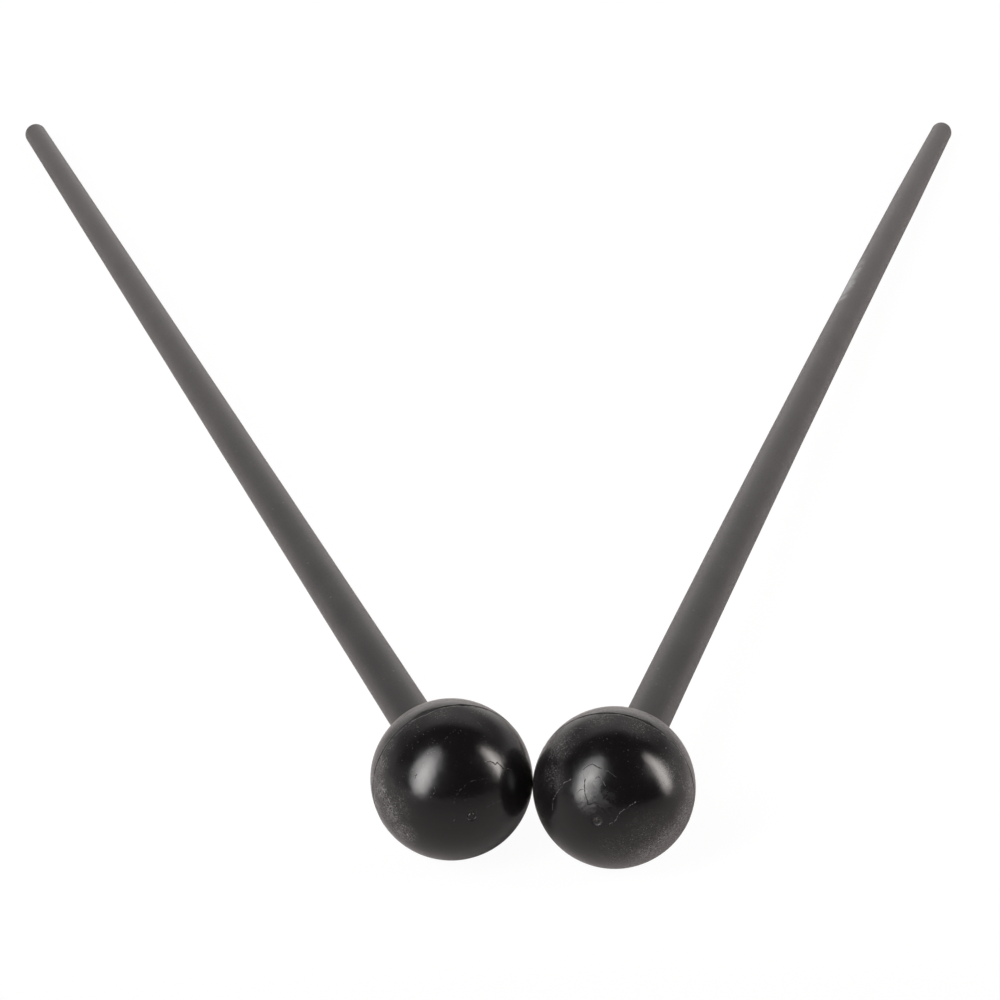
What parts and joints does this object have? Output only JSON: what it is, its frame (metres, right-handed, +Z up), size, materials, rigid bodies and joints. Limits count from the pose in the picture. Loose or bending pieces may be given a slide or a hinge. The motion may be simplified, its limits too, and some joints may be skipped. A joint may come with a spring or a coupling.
{
  "type": "xylophone mallet pair",
  "caption": "Pair of xylophone mallets lying in a V: solid ball heads of black rubber, touching, cemented on long tapered grey plastic shafts with rounded free ends.",
  "frame": {"origin": "on the table under the middle of the pair's outline", "axes": "+Z up from the table, +Y from the heads towards the free ends, along the line midway between the two shafts, +X towards the right mallet"},
  "size_m": [0.2152, 0.3668, 0.0286],
  "materials": {
    "shaft_plastic": "satin charcoal grey, moulded",
    "head_rubber": "semi-gloss black, moulded, with dust and fine scuffs",
    "cement": "cured amber-brown cement"
  },
  "bodies": {
    "left_mallet": {"left_shaft": "shaft_plastic", "left_head": "head_rubber", "left_cement": "cement"},
    "right_mallet": {"right_shaft": "shaft_plastic", "right_head": "head_rubber", "right_cement": "cement"}
  },
  "joints": [
    {"name": "right_lift", "type": "slide", "parent": "left_mallet", "child": "right_mallet", "axis": [0, 0, 1], "range_m": [0, 0.1]}
  ]
}
